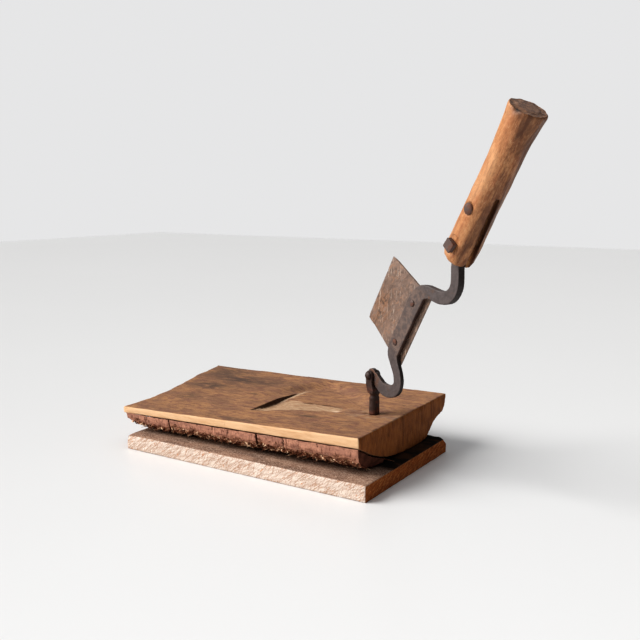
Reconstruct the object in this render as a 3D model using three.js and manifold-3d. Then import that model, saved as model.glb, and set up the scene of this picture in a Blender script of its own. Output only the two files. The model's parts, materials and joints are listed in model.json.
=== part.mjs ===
// A hand-forged lever chopper: a knife on a swivelling post, over a half-log slab nailed to a plank.
// Millimetres. Origin at the middle of the plank's underside. +X runs along the plank to the end that
// carries the post, +Y to the back and +Z up.
import * as THREE from 'three';
import { mergeVertices } from 'three/addons/utils/BufferGeometryUtils.js';
import Module from 'manifold-3d';

const wasm = await Module();
wasm.setup();

// ---- driving dimensions ---------------------------------------------------------------------------
const GAP = 0.3; // between pieces that touch
const REACH = 40; // how far a cutting shape runs past what it cuts

const BOARD = { length: 351, width: 208.5, thickness: 19, wane: 7.5 };

// Half of a small log, flat side up. Its top slopes down to the left and twists a little.
const SLAB = { right: 158.5, left: -226, front: -90.3, back: 137.8, belly: BOARD.thickness + 0.4 };
const SLAB_TOP = { rightFront: 64.8, rightBack: 66.8, leftFront: 49.5, leftBack: 60.5, leftX: -196 };

const POST = { x: 122.9, y: 9.3, turn: -26, radius: 6.35, shankRadius: 5, pivotHeight: 111 };
// The fork at the post's head leans back over the slab, so its pin is a little off the post's axis.
const FORK = { lean: -3, slotDepth: 18, earWidth: 12, earThickness: 3.6, play: 0.4 };
const POCKET = { radius: 15, top: 31 };
const WASHER = { radius: 12.5, thickness: 2.4 };
const PIVOT_RIVET = { radius: 2.6, headRadius: 5.2, headHeight: 3.6 };

// The lever is drawn in its own frame: s along the cutting edge, away from the pivot, and t square to
// it, towards the edge. LEAN is how far s stands above the horizontal when the lever rests on its stop.
const LEAN = 57.5;
const ARM_THICKNESS = 5.5;
const EYE_RADIUS = 8.4;
const BLADE = { thickness: 2, edge: 49, back: -30.4, end: 140.5, bevel: 7 };
const BLADE_RIVET = { radius: 2.4, headRadius: 3.9, headHeight: 1.5, line: -13.2, along: [64.4, 121.2] };
const HANDLE = { axis: -43.3, start: 202, end: 373, slotEnd: 284, spotFace: 15.9 };
const BOLT = { along: 221.5, radius: 3.2, across: 11.6, turn: -8, headHeight: 5.2, tail: 1.4 };
const ROVE = { radius: 6, thickness: 1.4 };
const HANDLE_RIVET = { along: 264.5, radius: 2.5, headRadius: 6.2, headHeight: 2.8 };

// The hollow that the blade has worn. Its floor slopes down round the post, from a heel just under the
// closed edge, and it ends at a steep wall straight across the grain.
const NOTCH = { start: 36, heel: 50, reach: 180, below: 2.2, fall: 0.034 };
const NOTCH_PLAN = [[POST.x, POST.y], [7, 106], [-26, 62], [-26, -40]];

const NAIL = { radius: 1.7, headRadius: 4, headHeight: 1.3, length: 38, sunk: 0.5 };
const NAIL_SPOTS = [[-130, 20], [-130, 66], [62, 20], [62, 66]];

const SLAB_WOOD = { color: 0x9a6a40, roughness: 0.75, metalness: 0 };
const PLANK_WOOD = { color: 0xb3906a, roughness: 0.85, metalness: 0 };
const BARK = { color: 0x6b4a3a, roughness: 0.95, metalness: 0 };
const FORGED_IRON = { color: 0x54504e, roughness: 0.55, metalness: 0.85 };
const BLADE_STEEL = { color: 0x7a6254, roughness: 0.5, metalness: 0.8 };
const RUSTY_IRON = { color: 0x63463a, roughness: 0.7, metalness: 0.7 };
const HANDLE_WOOD = { color: 0xa56a38, roughness: 0.6, metalness: 0 };

const rad = THREE.MathUtils.degToRad;
const lerp = THREE.MathUtils.lerp;

// ---- solids ---------------------------------------------------------------------------------------
function toSolid(geometry) {
  const plain = geometry.index ? geometry.toNonIndexed() : geometry.clone();
  plain.deleteAttribute('normal');
  plain.deleteAttribute('uv');
  const merged = mergeVertices(plain, 1e-4);
  const vertProperties = new Float32Array(merged.attributes.position.array);
  const triVerts = new Uint32Array(merged.index.array);
  return new wasm.Manifold(new wasm.Mesh({ numProp: 3, vertProperties, triVerts }));
}

function toGeometry(solid) {
  const mesh = solid.getMesh();
  const geometry = new THREE.BufferGeometry();
  geometry.setAttribute('position', new THREE.BufferAttribute(mesh.vertProperties, 3));
  geometry.setIndex(new THREE.BufferAttribute(mesh.triVerts, 1));
  return geometry;
}

// A round solid on the Z axis, from [radius, z] pairs that start and end on the axis or on each other.
function turned(profile, segments = 32) {
  const points = profile.map(([radius, z]) => new THREE.Vector2(radius, z));
  return new THREE.LatheGeometry(points, segments).rotateX(Math.PI / 2);
}

function rod(radius, low, high, segments = 32) {
  return turned([[0, low], [radius, low], [radius, high], [0, high]], segments);
}

function polygon(points) {
  return new THREE.Shape(points.map(([x, y]) => new THREE.Vector2(x, y)));
}

// A flat piece with its outline in XY, from z = low to z = high.
function plate(shape, low, high) {
  const options = { depth: high - low, bevelEnabled: false, curveSegments: 12 };
  return new THREE.ExtrudeGeometry(shape, options).translate(0, 0, low);
}

// A straight-sided solid between two sections across X that have the same number of points.
function loft(first, second) {
  const count = first.length;
  const index = [];
  for (let i = 0; i < count; i += 1) {
    const next = (i + 1) % count;
    index.push(i, next, i + count, next, next + count, i + count);
  }
  const flatten = (section) => section.map((point) => new THREE.Vector2(point.y, point.z));
  const firstCap = THREE.ShapeUtils.triangulateShape(flatten(first), []);
  const secondCap = THREE.ShapeUtils.triangulateShape(flatten(second), []);
  firstCap.forEach(([a, b, c]) => index.push(a, c, b));
  secondCap.forEach(([a, b, c]) => index.push(count + a, count + b, count + c));
  const geometry = new THREE.BufferGeometry().setFromPoints([...first, ...second]);
  geometry.setIndex(index);
  return geometry;
}

function node(name, shape, finish) {
  const geometry = shape instanceof THREE.BufferGeometry ? shape : toGeometry(shape);
  const mesh = new THREE.Mesh(geometry, new THREE.MeshStandardMaterial(finish));
  mesh.name = name;
  return mesh;
}

// ---- base: plank, slab, bark and nails ------------------------------------------------------------
function cutNailHoles(solid) {
  let result = solid;
  for (const [x, y] of NAIL_SPOTS) {
    const hole = rod(NAIL.radius + GAP, -REACH, NAIL.length + 1, 12).translate(x, y, 0);
    result = result.subtract(toSolid(hole));
  }
  return result;
}

function baseBoard() {
  const { length, width, thickness, wane } = BOARD;
  const blank = new THREE.BoxGeometry(length, width, thickness).translate(0, 0, thickness / 2);
  // The back right corner has lost its top edge where the bark once ran.
  const corner = new THREE.BoxGeometry(REACH, REACH, REACH).translate(0, 0, REACH / 2);
  corner.rotateY(rad(50)).rotateZ(rad(45));
  corner.translate((length - wane) / 2, (width - wane) / 2, thickness - wane / 4);
  let board = toSolid(blank).subtract(toSolid(corner));
  for (const [x, y] of NAIL_SPOTS) {
    const sink = rod(NAIL.headRadius + GAP, -1, NAIL.sunk + NAIL.headHeight + GAP, 20);
    board = board.subtract(toSolid(sink.translate(x, y, 0)));
  }
  return cutNailHoles(board);
}

// Height of the slab's top over (x, y): straight across and straight along, so it twists a little.
function slabTop(x, y) {
  const along = (x - SLAB.right) / (SLAB_TOP.leftX - SLAB.right);
  const across = (y - SLAB.front) / (SLAB.back - SLAB.front);
  const right = lerp(SLAB_TOP.rightFront, SLAB_TOP.rightBack, across);
  const left = lerp(SLAB_TOP.leftFront, SLAB_TOP.leftBack, across);
  return lerp(right, left, along);
}

// The slab's section at x from [y, share] pairs, share being the part of its height above the belly.
function slabSection(x, outline) {
  return outline.map(([y, share]) => {
    return new THREE.Vector3(x, y, SLAB.belly + share * (slabTop(x, y) - SLAB.belly));
  });
}

// The wood from the front edge under to the back: the sawn strip, the curve that the bark covers, the
// belly that rests on the plank, and the undercut back. Its ends stand above the top, to be cut off.
const WOOD_OUTLINE = [
  [-90.3, 1.3], [-88.6, 0.74], [-84, 0.67], [-73.3, 0.56], [-60.3, 0.41], [-41.3, 0.25], [-22.3, 0.13],
  [-4, 0.06], [20, 0.012], [35, 0], [72, 0], [83, 0.04], [91, 0.18], [103, 0.38], [115, 0.47],
  [130, 0.54], [136, 0.67], [138.8, 0.9], [137.8, 1.3],
];
const BARK_OUTLINE = [
  [-88.2, 0.72], [-87.6, 0.52], [-85.2, 0.36], [-81.3, 0.25], [-70, 0.13], [-52, 0.06], [-31, 0.02],
  [-25, 0.12], [-41.5, 0.235], [-60.7, 0.39], [-73.9, 0.535], [-84.4, 0.645],
];
const BARK_OUTSIDE_COUNT = 7; // the first points of the outline, which face out
// The bark has cracked across into three pieces. `hang` lowers the underside of the left ones.
const BARK_PIECES = {
  bark_left: { from: -188, to: -118.6, hang: 0.8 },
  bark_middle: { from: -117.6, to: 18.2, hang: 0.85 },
  bark_right: { from: 19.7, to: 157, hang: 1 },
};
// The lower corner at its left end has broken off along a slope, in degrees, through this point.
const BARK_BREAK = { x: -179.5, z: 30, slope: 25 };

const POST_SEAT = slabTop(POST.x, POST.y) - 0.4;

function notchCutter() {
  const heelFloor = POST.pivotHeight - BLADE.edge - NOTCH.below;
  const farFloor = heelFloor - NOTCH.fall * (NOTCH.reach - NOTCH.heel);
  const above = SLAB_TOP.rightBack + 10;
  const rim = slabTop(POST.x, POST.y);
  const ring = turned([
    [NOTCH.start, rim], [NOTCH.heel, heelFloor], [NOTCH.reach, farFloor], [NOTCH.reach, above],
    [NOTCH.start, above], [NOTCH.start, rim],
  ], 90);
  ring.translate(POST.x, POST.y, 0);
  return toSolid(ring).intersect(toSolid(plate(polygon(NOTCH_PLAN), 0, above + 1)));
}

// What stands above the slab's top: a block with that surface as its underside.
function aboveTop() {
  const length = SLAB.right - SLAB.left + REACH;
  const width = SLAB.back - SLAB.front + REACH;
  const block = new THREE.BoxGeometry(length, width, REACH, 12, 8, 1);
  block.translate((SLAB.right + SLAB.left) / 2, (SLAB.back + SLAB.front) / 2, 0);
  const corners = block.attributes.position;
  for (let i = 0; i < corners.count; i += 1) {
    const top = slabTop(corners.getX(i), corners.getY(i));
    corners.setZ(i, corners.getZ(i) > 0 ? top + REACH : top);
  }
  return toSolid(block);
}

function choppingSlab() {
  const wood = loft(slabSection(SLAB.left - 2, WOOD_OUTLINE), slabSection(SLAB.right, WOOD_OUTLINE));
  // The left end is sawn askew and has a small step near the back.
  const plan = polygon([
    [-197, -100], [200, -100], [200, 145], [-225.5, 145], [-218, 102], [-218.5, 89], [-210, 57],
    [-197, 0], [-193.5, -43],
  ]);
  let slab = toSolid(wood).intersect(toSolid(plate(plan, 0, 100))).subtract(aboveTop());
  slab = slab.subtract(notchCutter());
  const cuts = [
    rod(POST.radius + 0.8, POST_SEAT, 100),
    rod(POST.shankRadius + GAP, 0, 100),
    rod(POCKET.radius, 0, POCKET.top),
  ];
  for (const cut of cuts) {
    slab = slab.subtract(toSolid(cut.translate(POST.x, POST.y, 0)));
  }
  return cutNailHoles(slab);
}

function barkPiece({ from, to, hang }) {
  const outline = BARK_OUTLINE.map(([y, share], i) => {
    const low = i > 1 && i < BARK_OUTSIDE_COUNT;
    return [y, low ? share * hang : share];
  });
  const broken = new THREE.BoxGeometry(2 * REACH, 5 * REACH, REACH).translate(0, 0, -REACH / 2);
  broken.rotateY(rad(BARK_BREAK.slope)).translate(BARK_BREAK.x, 0, BARK_BREAK.z);
  return toSolid(loft(slabSection(from, outline), slabSection(to, outline))).subtract(toSolid(broken));
}

function slabNail([x, y]) {
  const { radius, headRadius, headHeight, length, sunk } = NAIL;
  const neck = sunk + headHeight;
  const profile = [
    [0, sunk], [headRadius, sunk], [headRadius, neck], [radius, neck], [radius, length - 6], [0, length],
  ];
  return turned(profile, 16).translate(x, y, 0);
}

// ---- post: its frame has Z on the swivel axis and X in the lever's plane ----------------------------
// Points along the slot's floor: [across from the pin, depth below the pin].
const SLOT_FLOOR = [[-REACH, 10.4], [2.6, 10.4], [5, 11.7], [9.4, 14.15], [REACH, 32]];

function forkBlock(slotFloor, thickness) {
  const half = FORK.earWidth / 2;
  const ears = new THREE.Shape().moveTo(-POST.radius + 1, slotFloor - 3);
  ears.lineTo(POST.radius - 1, slotFloor - 3);
  ears.lineTo(POST.radius, slotFloor + 1);
  ears.lineTo(FORK.lean + half, slotFloor + 9);
  ears.lineTo(FORK.lean + half, POST.pivotHeight);
  ears.absarc(FORK.lean, POST.pivotHeight, half, 0, Math.PI);
  ears.lineTo(FORK.lean - half, slotFloor + 6);
  return plate(ears, -thickness / 2, thickness / 2).rotateX(Math.PI / 2);
}

// The fork's slot. Its floor slopes down under the lever's heel, which leans on it when the lever is up.
function forkSlot(width) {
  const floor = SLOT_FLOOR.map(([x, below]) => [FORK.lean + x, POST.pivotHeight - below]);
  const top = POST.pivotHeight + REACH;
  const slot = polygon([...floor, [REACH, top], [-REACH, top]]);
  return plate(slot, -width / 2, width / 2).rotateX(Math.PI / 2);
}

function pivotPost() {
  const { radius, shankRadius, pivotHeight } = POST;
  const slotFloor = pivotHeight - FORK.slotDepth;
  const foot = POCKET.top - GAP - WASHER.thickness - GAP;
  const seat = POST_SEAT + GAP;
  const shaft = turned([
    [0, foot - 3.4], [7, foot - 3.4], [9, foot - 1.6], [8.4, foot], [shankRadius, foot],
    [shankRadius, seat], [radius + 0.3, seat], [radius, seat + 5], [radius - 0.2, slotFloor - 9],
    [radius - 1, slotFloor - 6], [radius + 0.4, slotFloor - 2.6], [radius + 0.2, slotFloor + 2],
    [0, slotFloor + 2],
  ]);
  const slotWidth = ARM_THICKNESS + 2 * FORK.play;
  const block = forkBlock(slotFloor, slotWidth + 2 * FORK.earThickness);
  const pinHole = rod(PIVOT_RIVET.radius + GAP, -REACH, REACH, 20);
  pinHole.rotateX(Math.PI / 2).translate(FORK.lean, 0, pivotHeight);
  const forged = toSolid(shaft).add(toSolid(block)).subtract(toSolid(forkSlot(slotWidth)));
  return forged.subtract(toSolid(pinHole));
}

function postWasher() {
  const high = POCKET.top - GAP;
  const disc = toSolid(rod(WASHER.radius, high - WASHER.thickness, high));
  return disc.subtract(toSolid(rod(POST.shankRadius + GAP, 0, REACH)));
}

// A rivet on the Z axis: a domed head above z = top and a flatter burr below z = bottom.
function rivet({ radius, headRadius, headHeight }, bottom, top) {
  const profile = [[0, bottom - headHeight * 0.6], [headRadius * 0.5, bottom - headHeight * 0.55]];
  profile.push([headRadius * 0.82, bottom], [radius, bottom], [radius, top], [headRadius, top]);
  const steps = 5;
  for (let step = 1; step < steps; step += 1) {
    const angle = (step / steps) * (Math.PI / 2);
    profile.push([headRadius * Math.cos(angle), top + headHeight * Math.sin(angle)]);
  }
  profile.push([0, top + headHeight]);
  return turned(profile, 24);
}

function pivotRivet() {
  const face = ARM_THICKNESS / 2 + FORK.play + FORK.earThickness + GAP;
  return rivet(PIVOT_RIVET, -face, face).rotateX(Math.PI / 2).translate(FORK.lean, 0, POST.pivotHeight);
}

// ---- lever: its frame has X on s, Y on t and Z towards the user ------------------------------------
// The forged bar as stations [s, t, width]. From the eye it hooks back round, runs flat along the blade,
// sweeps back again and turns into the handle.
const ARM_STATIONS = [
  [0.6, -5, 15.5], [1, -14, 15], [1.2, -23.3, 15], [4.1, -30.9, 15.4], [9.5, -38, 15],
  [19.2, -43.6, 14.4], [27.5, -42.4, 13.8], [34.5, -36.8, 13.8], [39.8, -28.9, 14], [44.1, -22, 15.5],
  [49.2, -16.8, 18.5], [58, -14.7, 20.5], [93.2, -14.7, 20.5], [127.2, -14.9, 20.5],
  [138.7, -17.7, 17.5], [146, -24.8, 14.6], [150.2, -34.3, 14], [154.6, -44.9, 14.4],
  [161.2, -53.7, 14.2], [170.2, -57.7, 13.4], [179.7, -56.7, 12.8], [189.2, -51.3, 12.6],
  [198.2, -45.8, 12.4], [209.2, -43.5, 12], [233.2, -43.3, 11.4], [279.2, -43.3, 9.5],
];

// The bar is flat in front. Behind, it is thicker from the blade to the handle, and its tang thins again
// inside the wood. Each pair is [s, depth of the rear face behind the middle of the flat part].
const ARM_REAR = [
  [-REACH, ARM_THICKNESS / 2], [BLADE.end + 1, ARM_THICKNESS / 2], [162, 6.2], [HANDLE.start + 2, 6.2],
  [226, 3], [HANDLE.slotEnd, 0.6],
];

function barOutline(stations, samples) {
  const spine = new THREE.CatmullRomCurve3(stations.map(([s, t, width]) => new THREE.Vector3(s, t, width)));
  const left = [];
  const right = [];
  for (let i = 0; i <= samples; i += 1) {
    const here = spine.getPoint(i / samples);
    const ahead = spine.getTangent(i / samples);
    const side = new THREE.Vector2(-ahead.y, ahead.x).setLength(here.z / 2);
    left.push([here.x + side.x, here.y + side.y]);
    right.push([here.x - side.x, here.y - side.y]);
  }
  return polygon([...right, ...left.reverse()]);
}

function crossHole(radius, s, t) {
  return toSolid(rod(radius + GAP, -REACH, REACH, 24).translate(s, t, 0));
}

// Everything behind a rear face that is given as [s, depth] pairs, out to both sides of the lever.
function behind(rear) {
  const line = rear.map(([s, depth]) => [s, -depth]);
  const [first, last] = [line[0], line[line.length - 1]];
  const side = polygon([[first[0], -REACH], [last[0], -REACH], ...line.reverse()]);
  return toSolid(plate(side, -3 * REACH, 3 * REACH).rotateX(Math.PI / 2));
}

function leverArm() {
  const half = ARM_THICKNESS / 2;
  const deepest = Math.max(...ARM_REAR.map(([, depth]) => depth));
  const bar = toSolid(plate(barOutline(ARM_STATIONS, 92), -deepest, half));
  let arm = bar.subtract(behind(ARM_REAR)).add(toSolid(rod(EYE_RADIUS, -half, half, 40)));
  arm = arm.subtract(crossHole(PIVOT_RIVET.radius, 0, 0));
  for (const s of BLADE_RIVET.along) {
    arm = arm.subtract(crossHole(BLADE_RIVET.radius, s, BLADE_RIVET.line));
  }
  for (const { along, radius } of [BOLT, HANDLE_RIVET]) {
    arm = arm.subtract(crossHole(radius, along, HANDLE.axis));
  }
  return arm;
}

const BLADE_FACE = -ARM_THICKNESS / 2 - GAP;

function blade() {
  const { thickness, edge, back, end, bevel } = BLADE;
  const outline = [[48.8, edge], [49.4, 34], [45, 3], [42.8, back], [end, back], [end - 1.3, edge]];
  let steel = toSolid(plate(polygon(outline.reverse()), BLADE_FACE - thickness, BLADE_FACE));
  // One long bevel, ground on the far side, leaves the edge 0.4 mm thick.
  const slope = Math.atan2(thickness - 0.4, bevel);
  const ground = new THREE.BoxGeometry(3 * REACH, REACH, REACH).translate(95, REACH / 2, -REACH / 2);
  ground.rotateX(slope).translate(0, edge - bevel, BLADE_FACE - thickness);
  steel = steel.subtract(toSolid(ground));
  for (const s of BLADE_RIVET.along) {
    steel = steel.subtract(crossHole(BLADE_RIVET.radius, s, BLADE_RIVET.line));
  }
  return steel;
}

function bladeRivet(s) {
  const low = BLADE_FACE - BLADE.thickness - GAP;
  return rivet(BLADE_RIVET, low, ARM_THICKNESS / 2 + GAP).translate(s, BLADE_RIVET.line, 0);
}

function handle() {
  const { start, end, axis, slotEnd, spotFace } = HANDLE;
  const turning = turned([
    [0, start], [11.5, start], [15.2, start + 3], [17, start + 8], [17.6, start + 20],
    [17.3, start + 60], [16.8, start + 105], [17.5, start + 140], [18.9, end - 12], [19.8, end - 4],
    [19.2, end], [0, end],
  ], 48);
  turning.rotateY(Math.PI / 2).translate(0, axis, 0);
  // The slot is a little wider than the tang all the way up.
  const slot = new THREE.BoxGeometry(slotEnd + REACH, 2 * REACH, ARM_THICKNESS / 2 + GAP + REACH);
  slot.translate((slotEnd - REACH) / 2, axis, (ARM_THICKNESS / 2 + GAP - REACH) / 2);
  const rear = ARM_REAR.map(([s, depth]) => [s, depth + GAP]);
  rear.push([HANDLE.slotEnd + REACH, rear[rear.length - 1][1]]);
  let wood = toSolid(turning).subtract(toSolid(slot).subtract(behind(rear)));
  for (const [{ along, radius }, face] of [[BOLT, 11], [HANDLE_RIVET, 7]]) {
    wood = wood.subtract(crossHole(radius, along, axis));
    for (const [low, high] of [[spotFace, REACH], [-REACH, -spotFace]]) {
      wood = wood.subtract(toSolid(rod(face, low, high).translate(along, axis, 0)));
    }
  }
  return wood;
}

function handleBolt() {
  const { along, radius, across, turn, headHeight, tail } = BOLT;
  const face = HANDLE.spotFace + GAP;
  const middle = face + headHeight / 2;
  const block = toSolid(new THREE.BoxGeometry(across, across, headHeight).translate(0, 0, middle));
  // Forging has rounded the square head's corners.
  const head = block.intersect(toSolid(rod(across * 0.66, face, face + headHeight, 40))).rotate([0, 0, turn]);
  const low = -face - ROVE.thickness - GAP;
  const shank = turned([
    [0, low - tail], [radius * 0.9, low - tail], [radius * 1.35, low], [radius, low], [radius, face + 1],
    [0, face + 1],
  ]);
  return head.add(toSolid(shank)).translate([along, HANDLE.axis, 0]);
}

// The ring that the bolt's far end is burred over.
function boltRove() {
  const face = -HANDLE.spotFace - GAP;
  const ring = toSolid(rod(ROVE.radius, face - ROVE.thickness, face).translate(BOLT.along, HANDLE.axis, 0));
  return ring.subtract(crossHole(BOLT.radius, BOLT.along, HANDLE.axis));
}

function handleRivet() {
  const face = HANDLE.spotFace + GAP;
  return rivet(HANDLE_RIVET, -face, face).translate(HANDLE_RIVET.along, HANDLE.axis, 0);
}

// ---- assembly -------------------------------------------------------------------------------------
const lever = new THREE.Group();
lever.position.set(FORK.lean, 0, POST.pivotHeight);
lever.rotation.set(Math.PI / 2, 0, rad(LEAN));
lever.add(
  node('lever_arm', leverArm(), FORGED_IRON),
  node('blade', blade(), BLADE_STEEL),
  node('blade_rivet_lower', bladeRivet(BLADE_RIVET.along[0]), RUSTY_IRON),
  node('blade_rivet_upper', bladeRivet(BLADE_RIVET.along[1]), RUSTY_IRON),
  node('handle', handle(), HANDLE_WOOD),
  node('handle_bolt', handleBolt(), RUSTY_IRON),
  node('bolt_rove', boltRove(), RUSTY_IRON),
  node('handle_rivet', handleRivet(), RUSTY_IRON),
);

const post = new THREE.Group();
post.position.set(POST.x, POST.y, 0);
post.rotation.z = rad(POST.turn);
post.add(
  node('pivot_post', pivotPost(), RUSTY_IRON),
  node('post_washer', postWasher(), RUSTY_IRON),
  node('pivot_rivet', pivotRivet(), RUSTY_IRON),
  lever,
);

const chopper = new THREE.Group();
chopper.add(
  node('base_board', baseBoard(), PLANK_WOOD),
  node('chopping_slab', choppingSlab(), SLAB_WOOD),
  post,
);
for (const [name, piece] of Object.entries(BARK_PIECES)) {
  chopper.add(node(name, barkPiece(piece), BARK));
}
NAIL_SPOTS.forEach((spot, number) => {
  chopper.add(node(`slab_nail_${number + 1}`, slabNail(spot), RUSTY_IRON));
});

export default chopper;
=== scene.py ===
"""A hand-forged lever chopper: a knife on a swivelling post, over a half-log slab nailed to a plank.

Metres, +Z up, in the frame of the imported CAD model. Most pieces start as a fine, even copy of their CAD
node, which is then worn, split, forged or whittled by moving its points."""

import json
import math

import bmesh
import bpy
import numpy as np
from mathutils import Matrix, Vector, noise


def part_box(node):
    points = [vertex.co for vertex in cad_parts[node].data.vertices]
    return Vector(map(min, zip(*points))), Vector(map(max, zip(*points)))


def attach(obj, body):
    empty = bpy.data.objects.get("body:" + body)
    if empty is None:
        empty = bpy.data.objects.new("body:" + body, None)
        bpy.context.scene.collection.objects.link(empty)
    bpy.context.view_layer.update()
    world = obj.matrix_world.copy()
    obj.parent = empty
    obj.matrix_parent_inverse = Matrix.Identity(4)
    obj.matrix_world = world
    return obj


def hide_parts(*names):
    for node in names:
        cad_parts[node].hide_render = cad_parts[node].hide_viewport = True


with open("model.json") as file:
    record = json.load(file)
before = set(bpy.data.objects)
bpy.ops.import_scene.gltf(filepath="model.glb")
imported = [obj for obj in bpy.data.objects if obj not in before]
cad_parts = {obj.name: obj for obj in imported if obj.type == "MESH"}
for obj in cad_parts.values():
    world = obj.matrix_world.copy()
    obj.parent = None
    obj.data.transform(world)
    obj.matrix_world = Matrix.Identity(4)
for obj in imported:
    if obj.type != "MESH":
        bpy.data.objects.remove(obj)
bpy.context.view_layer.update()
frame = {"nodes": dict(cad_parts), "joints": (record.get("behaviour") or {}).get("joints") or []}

MM = 0.001
JOINTS = {joint["name"]: joint for joint in frame["joints"]}
POST_AT = np.array(JOINTS["post_swivel"]["pos_m"])

# The lever's own frame: X along the cutting edge from the pivot, Y towards the edge, Z to the user.
LEAN = math.radians(57.5)
TO_USER = Vector(JOINTS["lever_pivot"]["axis"]).normalized()
UP = Vector((0, 0, 1))
ALONG = UP.cross(TO_USER) * math.cos(LEAN) + UP * math.sin(LEAN)
LEVER = Matrix((ALONG, TO_USER.cross(ALONG), TO_USER)).transposed().to_4x4()
LEVER.translation = Vector(JOINTS["lever_pivot"]["pos_m"])

# The worn hollow in the slab: its corners seen from above, from the post round to the front of its wall,
# and its floor, as distances from the post with the height at each.
HOLLOW_WALL = -26 * MM
HOLLOW_PLAN = [POST_AT[:2], (7 * MM, 106 * MM), (HOLLOW_WALL, 62 * MM), (HOLLOW_WALL, -40 * MM)]
HOLLOW_FLOOR = ((36 * MM, 50 * MM, 180 * MM), (65.5 * MM, 59.8 * MM, 55.4 * MM))
# The freshly split wedge in it: distances from the post with the directions of its back and front borders.
SPLIT_REACH = (52 * MM, 62 * MM, 78 * MM, 100 * MM, 113 * MM, 128 * MM, 140 * MM, 156 * MM)
SPLIT_BACK = (165, 164, 166, 169.5, 171, 168, 170, 186)
SPLIT_FRONT = (183, 184, 186.5, 188.5, 190, 192, 194.5, 198)
# Where the middle line of the handle lies in the lever's frame.
HANDLE_AXIS = -43.3 * MM
BLADE_REACH = 145 * MM  # how far from the post the closed blade comes


# ---- points and noise ------------------------------------------------------------------------------
def read_vectors(collection, field):
    values = np.empty(len(collection) * 3)
    collection.foreach_get(field, values)
    return values.reshape(-1, 3)


def smooth(value, start, end):
    """0 at start, 1 at end, with an S-curve between them."""
    share = np.clip((value - start) / (end - start), 0, 1)
    return share * share * (3 - 2 * share)


def lumps(points, size, octaves=3, seed=0.0):
    """Fractal noise of about -1 to 1 at each point. size is how wide its largest lumps are."""
    decay = 0.7
    finer = 2.0
    spots = (points / np.asarray(size) + seed).tolist()
    return np.array([noise.fractal(spot, decay, finer, octaves) for spot in spots])


def near(points, centre, reach):
    """1 at the centre, falling to nothing over the reach, which may differ by axis."""
    return np.exp(-(((points - np.asarray(centre)) / np.asarray(reach)) ** 2).sum(axis=1))


# ---- pieces ----------------------------------------------------------------------------------------
def new_piece(name, mesh):
    piece = bpy.data.objects.new(name, mesh)
    bpy.context.scene.collection.objects.link(piece)
    return piece


def cad_copy(node, place):
    """A CAD node's mesh with its corners merged, in the frame `place`."""
    mesh = frame["nodes"][node].data.copy()
    mesh.materials.clear()
    work = bmesh.new()
    work.from_mesh(mesh)
    bmesh.ops.remove_doubles(work, verts=work.verts, dist=0.002 * MM)
    bmesh.ops.transform(work, matrix=place.inverted(), verts=work.verts)
    return mesh, work


def even_copy(node, cell, place=Matrix.Identity(4)):
    """A copy of a CAD node as an even net of small cells, its corners rounded by about one cell."""
    mesh, work = cad_copy(node, place)
    work.to_mesh(mesh)
    work.free()
    piece = new_piece(node + "_worn", mesh)
    remesh = piece.modifiers.new("even", "REMESH")
    remesh.mode = "VOXEL"
    remesh.voxel_size = cell
    depsgraph = bpy.context.evaluated_depsgraph_get()
    piece.data = bpy.data.meshes.new_from_object(piece.evaluated_get(depsgraph))
    piece.modifiers.clear()
    piece.matrix_world = place
    piece.data.shade_smooth()
    return piece


def sliced_copy(node, step, place=Matrix.Identity(4)):
    """A copy of a CAD node with its exact edges, its faces sliced up every step along X and Y."""
    mesh, work = cad_copy(node, place)
    for axis in (0, 1):
        places = [vert.co[axis] for vert in work.verts]
        normal = [0, 0, 0]
        normal[axis] = 1
        for at in np.arange(min(places) + step / 2, max(places), step):
            point = [float(at) if i == axis else 0 for i in range(3)]
            everything = work.verts[:] + work.edges[:] + work.faces[:]
            bmesh.ops.bisect_plane(work, geom=everything, plane_co=point, plane_no=normal)
    work.to_mesh(mesh)
    work.free()
    piece = new_piece(node + "_worn", mesh)
    piece.matrix_world = place
    return piece


def move_points(piece, move):
    """Adds move(points, normals) to the points of a piece, in the piece's own frame."""
    mesh = piece.data
    points = read_vectors(mesh.vertices, "co")
    normals = read_vectors(mesh.vertex_normals, "vector")
    mesh.vertices.foreach_set("co", (points + move(points, normals)).ravel())
    mesh.update()


def paint(piece, **masks):
    """Stores a value from 0 to 1 at each point for each named mask, for the material to read."""
    for name, values in masks.items():
        attribute = piece.data.attributes.new(name, "FLOAT", "POINT")
        attribute.data.foreach_set("value", np.clip(values, 0, 1).astype(np.float32))


def dress(piece, material, body, slot, *nodes):
    """Gives a finished piece its material and its body, with its place in its points; its slot is not used.
    """
    piece.data.transform(piece.matrix_world)
    piece.matrix_world = Matrix.Identity(4)
    piece.data.materials.clear()
    piece.data.materials.append(material)
    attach(piece, body)
    if nodes:
        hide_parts(*nodes)
    return piece


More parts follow.
